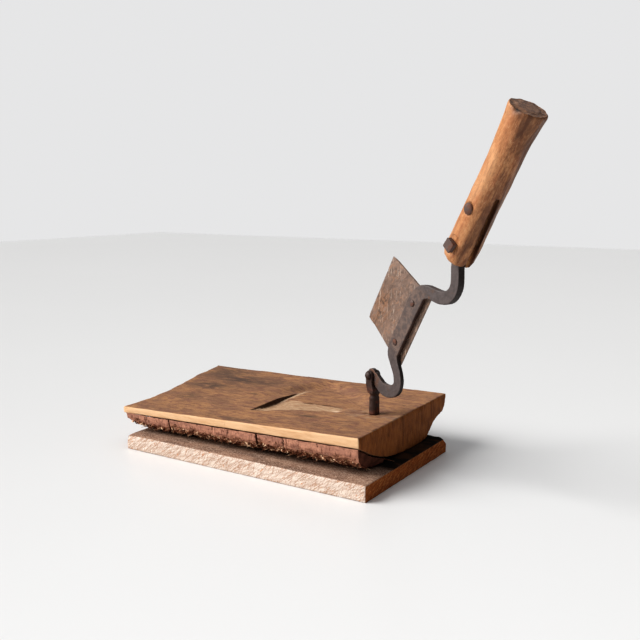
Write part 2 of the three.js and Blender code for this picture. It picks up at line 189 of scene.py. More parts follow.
# ---- materials -------------------------------------------------------------------------------------
class Look:
    """One material, built by short calls. Every value is a number, a colour or another node's output."""

    def __init__(self, name, place=None):
        self.material = bpy.data.materials.new(name)
        self.material.use_nodes = True
        self.tree = self.material.node_tree
        self.shader = self.tree.nodes["Principled BSDF"]
        self.place = self.node("ShaderNodeTexCoord").outputs["Object"]
        if place:
            inputs = {"Vector": self.place, "Location": place.translation, "Rotation": place.to_euler()}
            self.place = self.node("ShaderNodeMapping", inputs, vector_type="TEXTURE").outputs[0]

    def node(self, kind, inputs=None, **settings):
        made = self.tree.nodes.new(kind)
        for key, value in settings.items():
            setattr(made, key, value)
        for key, value in (inputs or {}).items():
            self.put(made.inputs[key], value)
        return made

    def put(self, socket, value):
        if isinstance(value, bpy.types.NodeSocket):
            self.tree.links.new(value, socket)
        elif isinstance(value, tuple) and len(value) == 3 and socket.type == "RGBA":
            socket.default_value = (*value, 1)
        else:
            socket.default_value = value

    def spread(self, size, turn=(0, 0, 0), shift=(0, 0, 0)):
        """The piece's own coordinates, turned, and scaled so that `size` metres becomes 1."""
        scale = tuple(1 / width for width in size)
        turned = self.node("ShaderNodeMapping", {"Vector": self.place, "Rotation": turn})
        inputs = {"Vector": turned.outputs[0], "Scale": scale, "Location": shift}
        return self.node("ShaderNodeMapping", inputs).outputs[0]

    def noise(self, size, detail=4, rough=0.55, turn=(0, 0, 0), shift=(0, 0, 0), bend=0):
        inputs = {"Vector": self.spread(size, turn, shift), "Scale": 1, "Detail": detail}
        inputs.update({"Roughness": rough, "Distortion": bend})
        return self.node("ShaderNodeTexNoise", inputs).outputs["Fac"]

    def mask(self, name):
        return self.node("ShaderNodeAttribute", attribute_name=name).outputs["Fac"]

    def between(self, value, low, high):
        """0 below low and 1 above high, or the other way round if low is above high."""
        inputs = {"Value": value, "From Min": low, "From Max": high}
        made = self.node("ShaderNodeMapRange", inputs, interpolation_type="SMOOTHSTEP")
        return made.outputs[0]

    def maths(self, operation, first, second):
        made = self.node("ShaderNodeMath", {0: first, 1: second}, operation=operation)
        return made.outputs[0]

    def times(self, first, second):
        return self.maths("MULTIPLY", first, second)

    def mix(self, share, first, second):
        made = self.node("ShaderNodeMix", data_type="RGBA")
        self.put(made.inputs[0], share)
        self.put(made.inputs[6], first)
        self.put(made.inputs[7], second)
        return made.outputs[2]

    def finish(self, colour, roughness, relief=(), metallic=0.0, gloss=0.5):
        """relief is pairs of a height from 0 to 1 and how many metres 1 stands for."""
        self.put(self.shader.inputs["Base Color"], colour)
        self.put(self.shader.inputs["Roughness"], roughness)
        self.put(self.shader.inputs["Metallic"], metallic)
        self.put(self.shader.inputs["Specular IOR Level"], gloss)
        normal = None
        for height, distance in relief:
            bump = self.node("ShaderNodeBump", {"Height": height, "Distance": distance, "Strength": 1})
            if normal:
                self.put(bump.inputs["Normal"], normal)
            normal = bump.outputs[0]
        if normal:
            self.put(self.shader.inputs["Normal"], normal)
        return self.material


def plank_look():
    """Rough-sawn plank: cream long edges with saw marks, a fuzzy weathered top and dark red ends."""
    look = Look("plank_wood")
    fuzz = look.noise((2.0 * MM, 1.3 * MM, 1.3 * MM), 7, 0.75)
    patches = look.noise((45 * MM, 18 * MM, 18 * MM), 4)
    top = look.mix(look.between(patches, 0.38, 0.66), (0.36, 0.225, 0.16), (0.22, 0.14, 0.105))
    top = look.mix(look.between(fuzz, 0.53, 0.62), top, (0.62, 0.47, 0.37))
    top = look.mix(look.between(fuzz, 0.47, 0.38), top, (0.085, 0.042, 0.027))
    slant = (0, math.radians(38), 0)
    saw = look.noise((16 * MM, 9 * MM, 1.1 * MM), 3, 0.6, slant, bend=0.2)
    cross = look.noise((1.1 * MM, 8 * MM, 14 * MM), 3, 0.6, (0, math.radians(-24), 0), bend=0.2)
    streaks = look.noise((22 * MM, 8 * MM, 2.2 * MM), 5, 0.65, (0, math.radians(16), 0))
    edge = look.mix(look.between(streaks, 0.40, 0.62), (0.82, 0.71, 0.62), (0.60, 0.45, 0.36))
    edge = look.mix(look.times(look.between(saw, 0.53, 0.57), 0.8), edge, (0.44, 0.25, 0.165))
    edge = look.mix(look.times(look.between(cross, 0.55, 0.59), 0.75), edge, (0.46, 0.25, 0.165))
    edge = look.mix(look.times(look.between(fuzz, 0.52, 0.60), 0.6), edge, (0.95, 0.88, 0.80))
    flecks = look.noise((8 * MM, 4 * MM, 2 * MM), 5, 0.65, slant, (3, 5, 1))
    edge = look.mix(look.between(flecks, 0.58, 0.66), edge, (0.60, 0.24, 0.09))
    end_saw = look.noise((9 * MM, 9 * MM, 0.9 * MM), 4, 0.6, (math.radians(-32), 0, 0), bend=0.3)
    end = look.mix(look.between(streaks, 0.35, 0.7), (0.36, 0.11, 0.032), (0.20, 0.055, 0.017))
    end = look.mix(look.times(look.between(end_saw, 0.52, 0.62), 0.7), end, (0.66, 0.27, 0.10))
    colour = look.mix(look.mask("edge"), top, edge)
    colour = look.mix(look.mask("end"), colour, end)
    # Painted shade and dirt: near black on the plank's top under and beside the slab's right end.
    dirt = look.mix(look.between(patches, 0.45, 0.65), (0.012, 0.009, 0.007), (0.055, 0.026, 0.013))
    colour = look.mix(look.mask("dirt"), colour, dirt)
    sawn = look.times(look.mask("edge"), 0.2 * MM)
    relief = [(fuzz, 0.3 * MM), (saw, sawn), (end_saw, look.times(look.mask("end"), 0.7 * MM))]
    return look.finish(colour, 0.85, relief, gloss=0.04)


def slab_look():
    """Worn brown slab with dark stains, pale sawn front strip, dark ends and a pale split."""
    look = Look("slab_wood")
    grain = look.noise((34 * MM, 2.2 * MM, 5 * MM), 6, 0.7, bend=0.4)
    fibre = look.noise((12 * MM, 0.7 * MM, 0.7 * MM), 4, 0.6)
    cloud = look.noise((52 * MM, 24 * MM, 24 * MM), 5, 0.65, bend=0.8)
    blotch = look.noise((15 * MM, 6 * MM, 8 * MM), 5, 0.65, shift=(6, 3, 1), bend=0.6)
    top = look.mix(look.between(cloud, 0.38, 0.62), (0.37, 0.195, 0.098), (0.25, 0.135, 0.082))
    top = look.mix(look.times(look.between(blotch, 0.50, 0.60), 0.8), top, (0.215, 0.105, 0.074))
    top = look.mix(look.times(look.between(blotch, 0.45, 0.35), 0.5), top, (0.45, 0.245, 0.125))
    top = look.mix(look.times(look.between(grain, 0.52, 0.62), 0.65), top, (0.155, 0.08, 0.052))
    top = look.mix(look.times(look.between(fibre, 0.45, 0.34), 0.3), top, (0.48, 0.29, 0.18))
    smear = look.noise((22 * MM, 8 * MM, 8 * MM), 6, 0.7, shift=(4, 2, 0))
    stained = look.times(look.mask("stain"), look.between(smear, 0.32, 0.56))
    top = look.mix(look.times(stained, 0.92), top, (0.085, 0.058, 0.047))
    marks = look.noise((13 * MM, 2.0 * MM, 3 * MM), 4, 0.6, shift=(9, 4, 2))
    top = look.mix(look.times(look.between(marks, 0.60, 0.69), 0.8), top, (0.075, 0.038, 0.026))
    top = look.mix(look.times(look.mask("scuffed"), 0.65), top, (0.42, 0.30, 0.21))
    strip = look.mix(look.between(grain, 0.4, 0.7), (0.80, 0.52, 0.31), (0.68, 0.40, 0.215))
    ticks = look.noise((1.1 * MM, 9 * MM, 7 * MM), 4, 0.65, shift=(2, 8, 3))
    strip = look.mix(look.times(look.between(ticks, 0.66, 0.72), 0.7), strip, (0.35, 0.16, 0.07))
    rings = look.noise((30 * MM, 7 * MM, 18 * MM), 6, 0.65, bend=0.6)
    end = look.mix(look.between(rings, 0.35, 0.7), (0.33, 0.115, 0.032), (0.17, 0.055, 0.015))
    scratch = look.noise((5 * MM, 1.0 * MM, 22 * MM), 4, 0.6)
    end = look.mix(look.times(look.between(scratch, 0.54, 0.72), 0.7), end, (0.04, 0.013, 0.005))
    end = look.mix(look.times(look.between(scratch, 0.42, 0.3), 0.5), end, (0.46, 0.20, 0.075))
    split = look.mix(look.between(fibre, 0.35, 0.65), (0.52, 0.36, 0.235), (0.34, 0.20, 0.115))
    split = look.mix(look.times(look.between(blotch, 0.48, 0.62), 0.5), split, (0.36, 0.185, 0.10))
    under = look.mix(look.between(grain, 0.4, 0.65), (0.20, 0.105, 0.06), (0.11, 0.055, 0.033))
    colour = look.mix(look.mask("under"), top, under)
    colour = look.mix(look.mask("strip"), colour, strip)
    colour = look.mix(look.mask("end"), colour, end)
    colour = look.mix(look.mask("split"), colour, split)
    fresh = look.times(look.mask("fresh"), look.between(smear, 0.40, 0.52))
    colour = look.mix(fresh, colour, (0.66, 0.48, 0.33))
    colour = look.mix(look.mask("shade"), colour, (0.03, 0.013, 0.006))
    scratched = look.times(look.mask("end"), 0.7 * MM)
    relief = [(grain, 0.5 * MM), (fibre, 0.2 * MM), (marks, 0.4 * MM), (scratch, scratched)]
    return look.finish(colour, 0.65, relief, gloss=0.08)


def bark_look():
    """Dry pinkish-brown bark, wrinkled up and down, dark and fibrous along its ragged lower edge."""
    look = Look("bark")
    wrinkles = look.noise((2.0 * MM, 5 * MM, 9 * MM), 6, 0.7, bend=0.6)
    patches = look.noise((18 * MM, 12 * MM, 7 * MM), 5, 0.65)
    crumbs = look.noise((2.2 * MM, 1.8 * MM, 1.5 * MM), 6, 0.75)
    colour = look.mix(look.between(patches, 0.36, 0.62), (0.62, 0.31, 0.21), (0.43, 0.21, 0.15))
    colour = look.mix(look.times(look.between(patches, 0.6, 0.72), 0.6), colour, (0.62, 0.40, 0.29))
    colour = look.mix(look.between(wrinkles, 0.55, 0.66), colour, (0.12, 0.045, 0.028))
    torn = look.mix(look.between(crumbs, 0.46, 0.56), (0.08, 0.032, 0.018), (0.46, 0.21, 0.115))
    torn = look.mix(look.between(crumbs, 0.58, 0.65), torn, (0.84, 0.58, 0.38))
    colour = look.mix(look.mask("torn"), colour, torn)
    cut = look.mix(look.between(patches, 0.4, 0.6), (0.15, 0.058, 0.037), (0.085, 0.033, 0.022))
    colour = look.mix(look.mask("cut"), colour, cut)
    # The cracks are painted near black: painted shade inside them.
    colour = look.mix(look.mask("crack"), colour, (0.012, 0.006, 0.005))
    return look.finish(colour, 0.9, [(wrinkles, 1.4 * MM), (crumbs, 1.2 * MM)], gloss=0.03)


def fibre_look():
    """Torn bast: dark brown strips and flakes with pale ends."""
    look = Look("bark_fibres")
    tone = look.noise((7 * MM, 7 * MM, 7 * MM), 4, 0.65)
    colour = look.mix(look.between(tone, 0.42, 0.56), (0.11, 0.04, 0.024), (0.36, 0.155, 0.085))
    colour = look.mix(look.between(tone, 0.53, 0.59), colour, (0.86, 0.62, 0.42))
    return look.finish(colour, 0.9, [(tone, 0.3 * MM)], gloss=0.03)


def handle_look():
    """Golden-brown handle, polished by hands, with dark grain streaks, a dirty end, painted shade in its
    slot and on the side away from the blade, and a painted highlight down its middle.
    """
    look = Look("handle_wood", LEVER)
    grain = look.noise((40 * MM, 3.2 * MM, 3.2 * MM), 6, 0.65, bend=0.6)
    fibre = look.noise((9 * MM, 0.6 * MM, 0.6 * MM), 3, 0.6)
    cloud = look.noise((34 * MM, 13 * MM, 13 * MM), 5, 0.65)
    colour = look.mix(look.between(cloud, 0.38, 0.64), (0.56, 0.262, 0.112), (0.39, 0.155, 0.064))
    colour = look.mix(look.times(look.between(grain, 0.50, 0.64), 0.75), colour, (0.21, 0.068, 0.026))
    pores = look.noise((5 * MM, 0.9 * MM, 0.9 * MM), 4, 0.65, shift=(7, 1, 5))
    colour = look.mix(look.times(look.between(pores, 0.58, 0.68), 0.8), colour, (0.085, 0.036, 0.02))
    colour = look.mix(look.times(look.between(fibre, 0.45, 0.3), 0.35), colour, (0.68, 0.38, 0.18))
    specks = look.noise((4.5 * MM, 1.8 * MM, 1.8 * MM), 6, 0.75, shift=(2, 6, 4))
    colour = look.mix(look.times(look.between(specks, 0.53, 0.60), 0.55), colour, (0.17, 0.062, 0.026))
    colour = look.mix(look.times(look.between(specks, 0.46, 0.39), 0.5), colour, (0.70, 0.42, 0.22))
    cap = look.mix(look.between(grain, 0.4, 0.62), (0.27, 0.14, 0.08), (0.10, 0.045, 0.026))
    uneven = look.noise((48 * MM, 13 * MM, 13 * MM), 5, 0.6, shift=(5, 2, 8), bend=0.5)
    # Painted shade, with some grime, darkens the side away from the blade.
    grime = look.times(look.mask("grime"), look.between(uneven, 0.74, 0.38))
    colour = look.mix(look.times(grime, 0.9), colour, (0.09, 0.03, 0.013))
    # Polish and a painted highlight: lighter down the middle of the broad faces.
    worn = look.mix(look.between(uneven, 0.42, 0.60), (0.42, 0.175, 0.075), (0.62, 0.34, 0.18))
    colour = look.mix(look.times(look.mask("polish"), 0.45), colour, worn)
    colour = look.mix(look.mask("cap"), colour, cap)
    # Near black: painted shade in the slot for the bar, and dirt in the chip at the free end.
    colour = look.mix(look.mask("dirt"), colour, (0.02, 0.012, 0.012))
    shine = look.mix(look.between(fibre, 0.3, 0.7), (0.36, 0.36, 0.36), (0.58, 0.58, 0.58))
    return look.finish(colour, shine, [(grain, 0.6 * MM), (fibre, 0.15 * MM)], gloss=0.3)


def iron_look(name, base, rust, share, metallic, gloss=0.3):
    """Forged iron with a dark skin; rust covers about `share` of it."""
    look = Look(name)
    scale = look.noise((6 * MM, 6 * MM, 6 * MM), 6, 0.65)
    pits = look.noise((1.3 * MM, 1.3 * MM, 1.3 * MM), 5, 0.7)
    patches = look.noise((19 * MM, 13 * MM, 13 * MM), 5, 0.65, shift=(3, 8, 1))
    dark = tuple(0.7 * part for part in base)
    colour = look.mix(look.between(scale, 0.35, 0.7), base, dark)
    level = 0.66 - 0.32 * share
    colour = look.mix(look.times(look.between(patches, level, level + 0.14), 0.8), colour, rust)
    deep = tuple(0.35 * part for part in rust)
    colour = look.mix(look.times(look.between(pits, 0.6, 0.75), 0.5), colour, deep)
    shine = look.mix(look.between(patches, 0.4, 0.65), (0.46, 0.46, 0.46), (0.72, 0.72, 0.72))
    bronzed = look.mix(look.between(scale, 0.42, 0.58), (0.185, 0.125, 0.10), (0.11, 0.082, 0.074))
    colour = look.mix(look.times(look.mask("patina"), 0.75), colour, bronzed)
    # Painted shade: the bar's sides away from the blade's edge, a reddish dark where the patina is.
    edge = look.mix(look.mask("patina"), (0.018, 0.011, 0.009), (0.045, 0.018, 0.010))
    colour = look.mix(look.times(look.mask("narrow"), 0.85), colour, edge)
    rusted = look.times(look.mask("rusted"), look.between(scale, 0.40, 0.55))
    colour = look.mix(rusted, colour, (0.17, 0.08, 0.046))
    return look.finish(colour, shine, [(scale, 0.45 * MM), (pits, 0.18 * MM)], metallic, gloss)


def blade_look():
    """Thin steel plate: mottled brown patina, orange and dark blotches, pale slanting scratches."""
    look = Look("blade_steel", LEVER)
    cloud = look.noise((30 * MM, 20 * MM, 20 * MM), 5, 0.65)
    mottle = look.noise((7 * MM, 4 * MM, 4 * MM), 7, 0.75, (0, 0, math.radians(24)), bend=0.4)
    colour = look.mix(look.between(cloud, 0.38, 0.60), (0.26, 0.175, 0.135), (0.17, 0.115, 0.09))
    colour = look.mix(look.times(look.between(mottle, 0.53, 0.60), 0.6), colour, (0.33, 0.18, 0.11))
    colour = look.mix(look.times(look.between(mottle, 0.46, 0.39), 0.75), colour, (0.10, 0.066, 0.053))
    blotch = look.noise((12 * MM, 6 * MM, 8 * MM), 6, 0.7, shift=(1, 7, 2))
    orange = look.mix(look.between(blotch, 0.50, 0.58), (0.27, 0.14, 0.08), (0.10, 0.06, 0.042))
    colour = look.mix(look.times(look.mask("rusted"), look.between(blotch, 0.40, 0.52)), colour, orange)
    slant = (0, 0, math.radians(-28))
    scratch = look.noise((15 * MM, 0.9 * MM, 4 * MM), 4, 0.65, slant)
    colour = look.mix(look.times(look.between(scratch, 0.60, 0.66), 0.85), colour, (0.66, 0.55, 0.46))
    colour = look.mix(look.times(look.mask("grey"), 0.4), colour, (0.13, 0.105, 0.098))
    colour = look.mix(look.times(look.mask("edge"), 0.6), colour, (0.30, 0.26, 0.24))
    relief = [(mottle, 0.18 * MM), (scratch, 0.12 * MM)]
    return look.finish(colour, 0.5, relief, 0.2, gloss=0.3)


# ---- base ------------------------------------------------------------------------------------------
def paint_board(piece, points, normals):
    """Masks for the plank's sawn ends and long edges, and for painted shade and dirt on its top under and
    beside the slab's right end.
    """
    end = smooth(np.abs(normals[:, 0]), 0.55, 0.8)
    edge = smooth(np.abs(normals[:, 1]), 0.45, 0.75) * (1 - end)
    slab_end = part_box("chopping_slab")[1][0]
    dirt = smooth(points[:, 0], slab_end - 60 * MM, slab_end - 25 * MM) * smooth(normals[:, 2], 0.5, 0.8)
    dirt *= smooth(points[:, 1] + 4 * MM * lumps(points, 20 * MM, 3), -56 * MM, -34 * MM)
    paint(piece, end=end, edge=edge, dirt=dirt)


def board_wear(points, normals):
    """Unevenness all over, broken upper long edges and a worn corner at the front left."""
    low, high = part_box("base_board")
    depth = 0.25 * MM * (lumps(points, (40 * MM, 12 * MM, 8 * MM), 4) + 1)
    upper = smooth(points[:, 2], high[2] - 6 * MM, high[2])
    rim = smooth(np.abs(points[:, 1]), high[1] - 4 * MM, high[1])
    depth += 1.1 * MM * upper * rim * smooth(lumps(points, (22 * MM, 30 * MM, 30 * MM), 3, 5), 0, 0.6)
    depth += 1.6 * MM * near(points, (low[0], low[1], high[2]), (16 * MM, 8 * MM, 6 * MM))
    return -normals * depth[:, None]


def build_board(material):
    piece = even_copy("base_board", 1.5 * MM)
    points = read_vectors(piece.data.vertices, "co")
    normals = read_vectors(piece.data.vertex_normals, "vector")
    paint_board(piece, points, normals)
    move_points(piece, board_wear)
    keep_above(piece, 0)
    return dress(piece, material, "base", "plank_wood", "base_board")


def keep_above(piece, floor):
    """Lifts the points that noise has pushed under a level."""
    points = read_vectors(piece.data.vertices, "co")
    points[:, 2] = np.maximum(points[:, 2], floor)
    piece.data.vertices.foreach_set("co", points.ravel())
    piece.data.update()


def polar(points):
    """Distance from the post and direction in degrees, 180 being along the slab to its left end."""
    across = points[:, :2] - POST_AT[:2]
    return np.hypot(*across.T), np.degrees(np.arctan2(across[:, 1], across[:, 0])) % 360


def past_hollow(points):
    """How far each point lies past the hollow's right, far and left sides; negative inside."""
    sides = []
    for (x0, y0), (x1, y1) in zip(HOLLOW_PLAN, HOLLOW_PLAN[1:]):
        length = math.hypot(x1 - x0, y1 - y0)
        sides.append(((points[:, 0] - x0) * (y1 - y0) - (points[:, 1] - y0) * (x1 - x0)) / length)
    return sides


def top_heights(points, normals):
    """The height of the slab's plain top over each point, fitted to the part outside the hollow."""
    across = points[:, :2]
    terms = np.column_stack([np.ones(len(points)), across, across.prod(axis=1)])
    plain = (normals[:, 2] > 0.95) & (np.max(past_hollow(points), axis=0) > 3 * MM)
    return terms @ np.linalg.lstsq(terms[plain], points[plain, 2], rcond=None)[0]


def hollow_move(points, normals):
    """How far the top goes up or down round the hollow: only the front half of its wall is steep."""
    distance, bearing = polar(points)
    back = points[:, 1]
    right, far, left = past_hollow(points)
    # Behind the middle the ground outside the hollow slopes down to meet its floor.
    outside = np.maximum(right / (26 * MM), (far - 14 * MM) / (24 * MM))
    floor = np.interp(distance, *HOLLOW_FLOOR)
    share = (1 - smooth(outside, 0, 1)) * smooth(back, 10 * MM, 18 * MM) * (bearing < 197)
    share *= np.where(left > 0, smooth(left, 34 * MM, 0) * smooth(back, 8 * MM, 84 * MM), 1)
    share *= smooth(back, 130 * MM, 104 * MM) * smooth(points[:, 2], 48 * MM, 53 * MM)
    sink = share * np.clip(points[:, 2] - floor, 0, 9 * MM)
    # Beyond the blade's reach the floor climbs to the rim at the wall's front end.
    inside = (np.maximum.reduce([right, far, left]) < -0.2 * MM) & (bearing < 198.2)
    climbs = smooth(back, -4 * MM, -36 * MM) * smooth(distance, BLADE_REACH, BLADE_REACH + 9 * MM)
    room = np.clip(top_heights(points, normals) - 0.3 * MM - points[:, 2], 0, 9 * MM)
    deeper = smooth(points[:, 0], 8 * MM, -20 * MM) * smooth(back, 44 * MM, 14 * MM)
    deeper *= smooth(back, -30 * MM, 2 * MM) * smooth(normals[:, 2], 0.3, 0.7)
    return inside * (0.9 * climbs * room - 2.0 * MM * deeper) - sink


def split_marks(points):
    """The fresh wedge in the hollow, the dark line behind it, and the pale foot of the wall."""
    distance, bearing = polar(points)
    ragged = 1.3 * lumps(points, (14 * MM, 5 * MM, 5 * MM), 4)
    behind = np.interp(distance, SPLIT_REACH, SPLIT_BACK) + ragged
    before = np.interp(distance, SPLIT_REACH, SPLIT_FRONT) + ragged
    within = (points[:, 0] > HOLLOW_WALL + 0.3 * MM) * smooth(distance, 52 * MM, 55 * MM)
    wedge = within * smooth(bearing, behind - 0.5, behind + 0.5)
    wedge *= smooth(bearing, before + 0.5, before - 0.5)
    from_line = np.abs(bearing - behind + 0.6) * np.radians(1) * distance
    line = within * smooth(from_line, 1.6 * MM, 0.5 * MM) * smooth(distance, 122 * MM, 112 * MM)
    from_wall = points[:, 0] - HOLLOW_WALL + 1.2 * MM * ragged
    foot = smooth(from_wall, 7 * MM, 3.5 * MM) * smooth(points[:, 1], 14 * MM, 30 * MM)
    foot *= smooth(points[:, 1], 96 * MM, 66 * MM) * smooth(from_wall, 0.2 * MM, 1.0 * MM)
    return wedge, line, foot


# Where the slab is stained: how strongly, the middle and the reach.
STAINS = [
    (1.0, (-158 * MM, 40 * MM, 58 * MM), (34 * MM, 16 * MM, 30 * MM)),
    (0.9, (-132 * MM, 82 * MM, 60 * MM), (44 * MM, 20 * MM, 30 * MM)),
    (0.8, (-190 * MM, 112 * MM, 60 * MM), (50 * MM, 30 * MM, 30 * MM)),
    (0.75, (-150 * MM, -14 * MM, 55 * MM), (14 * MM, 14 * MM, 30 * MM)),
    (0.5, (-70 * MM, 84 * MM, 61 * MM), (40 * MM, 18 * MM, 30 * MM)),
    (0.6, (-18 * MM, -80 * MM, 58 * MM), (34 * MM, 7 * MM, 30 * MM)),
    (0.9, (58 * MM, -34 * MM, 62 * MM), (17 * MM, 4 * MM, 30 * MM)),
    (0.8, (-69 * MM, 29 * MM, 59 * MM), (6 * MM, 5 * MM, 30 * MM)),
]
# The middle of the scuffed patch, from the post.
SCUFF_SHIFT = np.array([8, -6]) * MM


def paint_slab(piece, points, normals):
    """Masks for the slab's ends, pale front strip and underside, and for what has happened to its top."""
    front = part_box("chopping_slab")[0][1]
    facing_up = smooth(normals[:, 2], 0.3, 0.7)
    end = slab_ends(points, normals)
    strip = smooth(-normals[:, 1], 0.45, 0.75) * smooth(points[:, 1], front + 4 * MM, front + 2.4 * MM)
    wedge, line, foot = split_marks(points)
    by_wall = smooth(np.abs(points[:, 0] - HOLLOW_WALL), 2.5 * MM, 1.2 * MM) * (normals[:, 0] > 0.3)
    wall = by_wall * (points[:, 1] > -44 * MM) * smooth(points[:, 1], 74 * MM, 52 * MM)
    chip = near(points, (69 * MM, 8 * MM, 60 * MM), (8 * MM, 5 * MM, 9 * MM))
    stain = sum(share * near(points, spot, reach) for share, spot, reach in STAINS)
    scuffed = near(points, (*(POST_AT[:2] + SCUFF_SHIFT), POST_AT[2]), (34 * MM, 20 * MM, 20 * MM))
    paint(
        piece,
        end=end,
        strip=strip * (1 - end),
        under=smooth(normals[:, 2], 0.1, -0.2) * (1 - end),
        split=(wedge + 0.8 * foot) * facing_up,
        fresh=(0.7 * foot + chip) * facing_up,
        shade=0.85 * wall + (0.7 * line + 1.5 * post_hole(points)) * facing_up,
        stain=stain,
        scuffed=scuffed * smooth(lumps(points, 12 * MM, 3), -0.3, 0.5),
    )


def slab_ends(points, normals):
    """1 on the slab's two sawn ends, which face along X and stand well away from its middle."""
    from_middle = np.abs(points[:, 0] - 40 * MM)
    return smooth(np.abs(normals[:, 0]), 0.6, 0.85) * smooth(from_middle, 90 * MM, 100 * MM)


def post_hole(points):
    """1 in the small hole in the slab's top to the left of the post's foot."""
    centre = (POST_AT[0] - 10.5 * MM, POST_AT[1] - MM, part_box("chopping_slab")[1][2])
    return near(points, centre, (2.8 * MM, 2 * MM, 12 * MM))


def slab_wear(points, normals):
    """Unevenness all over, splinters off the right end's top edge, the hollow and the torn wedge."""
    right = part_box("chopping_slab")[1][0]
    facing_up = smooth(normals[:, 2], 0.3, 0.7)
    wedge, line, _ = split_marks(points)
    depth = 0.35 * MM * (lumps(points, (70 * MM, 28 * MM, 28 * MM), 4) + 1) * facing_up
    depth += 0.3 * MM * slab_ends(points, normals) * (lumps(points, (9 * MM, 2.5 * MM, 14 * MM), 3) + 1)
    splintered = smooth(points[:, 0], right - 3.5 * MM, right) * smooth(points[:, 2], 60 * MM, 64 * MM)
    depth += 1.3 * MM * splintered * smooth(lumps(points, (9 * MM, 7 * MM, 9 * MM), 3, 2), 0.05, 0.5)
    torn = (0.5 * wedge + 0.6 * line) * MM * (lumps(points, (22 * MM, 2.4 * MM, 9 * MM), 4, 3) + 1)
    move = -normals * depth[:, None]
    move[:, 2] += hollow_move(points, normals) - (torn + 2.5 * MM * post_hole(points)) * facing_up
    return move


def build_slab(material):
    piece = even_copy("chopping_slab", 1.5 * MM)
    points = read_vectors(piece.data.vertices, "co")
    normals = read_vectors(piece.data.vertex_normals, "vector")
    paint_slab(piece, points, normals)
    move_points(piece, slab_wear)
    return dress(piece, material, "base", "slab_wood", "chopping_slab")


# Cracks across each bark piece: where, how wide, and how far down from its top.
BARK_CRACKS = {
    "bark_left": [(-156 * MM, 0.5 * MM, 9 * MM)],
    "bark_middle": [(-72 * MM, 0.4 * MM, 8 * MM), (-24 * MM, 0.5 * MM, 11 * MM)],
    "bark_right": [(57 * MM, 0.8 * MM, 17 * MM), (104 * MM, 0.5 * MM, 9 * MM)],
}


def build_bark(node, cracks, material):
    """A bark piece with a torn lower edge, cut ends and cracks across it."""
    piece = even_copy(node, 1.0 * MM)
    points = read_vectors(piece.data.vertices, "co")
    normals = read_vectors(piece.data.vertex_normals, "vector")
    low, high = (np.array(corner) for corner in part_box(node))
    drop = smooth(points[:, 2], low[2] + 0.68 * (high[2] - low[2]), low[2] + 0.25 * (high[2] - low[2]))
    torn = np.clip(drop + 0.7 * lumps(points, (14 * MM, 9 * MM, 6 * MM), 4, 1), 0, 1) * (drop > 0)
    cut = smooth(np.abs(normals[:, 0]), 0.6, 0.85)
    torn *= 1 - cut
    crack = np.zeros(len(points))
    for at, width, reach in cracks:
        wander = 1.6 * MM * lumps(points[:, [2, 2, 2]], 9 * MM, 3, at * 100)
        line = 1 - smooth(np.abs(points[:, 0] - at - wander), 0.3 * width, width)
        crack = np.maximum(crack, line * smooth(points[:, 2], high[2] - reach, high[2] - 0.7 * reach))
    outside = smooth(-normals[:, 1], -0.1, 0.4)

    def wear(points, normals):
        depth = 0.35 * MM * (lumps(points, (5 * MM, 9 * MM, 14 * MM), 4) + 1)
        depth += torn * 2.6 * MM * np.clip(lumps(points, (7 * MM, 5 * MM, 3.2 * MM), 4, 7) + 0.5, -0.1, 1.2)
        depth += 2.2 * MM * crack * outside
        move = -normals * depth[:, None]
        # At its left end the bark reaches the slab's corner and sits tight under the slab.
        at_end = smooth(points[:, 0], -150 * MM, -186 * MM)
        move[:, 0] -= 5 * MM * at_end * smooth(points[:, 2], low[2], high[2])
        move[:, 2] += 1.3 * MM * at_end * smooth(points[:, 2], high[2] - 12 * MM, high[2])
        return move

    paint(piece, torn=torn, cut=cut, crack=crack * outside)
    move_points(piece, wear)
    return dress(piece, material, "base", "bark", node)


def fibre_heading(random):
    """A direction along the bark to either side, a little outwards and up or down."""
    turn = random.uniform(-0.6, 0.6) + (math.pi if random.random() < 0.5 else 0)
    rise = random.uniform(-0.5, 0.25)
    return np.array([math.cos(turn), -0.25 * abs(math.sin(turn)) - 0.05, rise])


def fibre_size(flake, random):
    """Length, width and half the thickness of a short, broad flake or of a long, narrow strip."""
    if flake:
        return random.uniform(1.5, 4.5) * MM, random.uniform(1.5, 4) * MM, random.uniform(0.25, 0.5) * MM
    return random.uniform(3, 12) * MM, random.uniform(0.4, 1.2) * MM, 0.15 * MM


def fibre_path(start, heading, length, droop, curl):
    """Points along a fibre that leaves `start` and bends down as it goes."""
    steps = np.linspace(0, 1, 6)[:, None]
    side = np.array([-heading[1], heading[0], 0])
    level = start + length * (steps * heading + curl * steps**2 * side)
    return level - droop * steps**2 * np.array(UP)


def fibre_rings(path, width, thickness, random):
    """The four corners round each point of a fibre's path. The fibre gets narrower to its tip."""
    lean = random.uniform(-1.3, 1.0)
    broad = np.array([0, math.sin(lean), math.cos(lean)]) * width / 2
    thin = np.array([0, math.cos(lean), -math.sin(lean)]) * thickness
    rings = []
    for i, at in enumerate(path):
        taper = (1 - 0.75 * (i / (len(path) - 1)) ** 2) * random.uniform(0.75, 1)
        side = taper * broad
        rings += [at + side + thin, at + side - thin, at - side - thin, at - side + thin]
    return rings


def fibre_faces(first, count):
    """The faces of a closed tube through `count` rings of four points, from the point `first`."""
    faces = [(first + 3, first + 2, first + 1, first)]
    for base in range(first, first + 4 * (count - 1), 4):
        for j in range(4):
            k = (j + 1) % 4
            faces.append((base + j, base + k, base + 4 + k, base + 4 + j))
    last = first + 4 * (count - 1)
    faces.append((last, last + 1, last + 2, last + 3))
    return faces


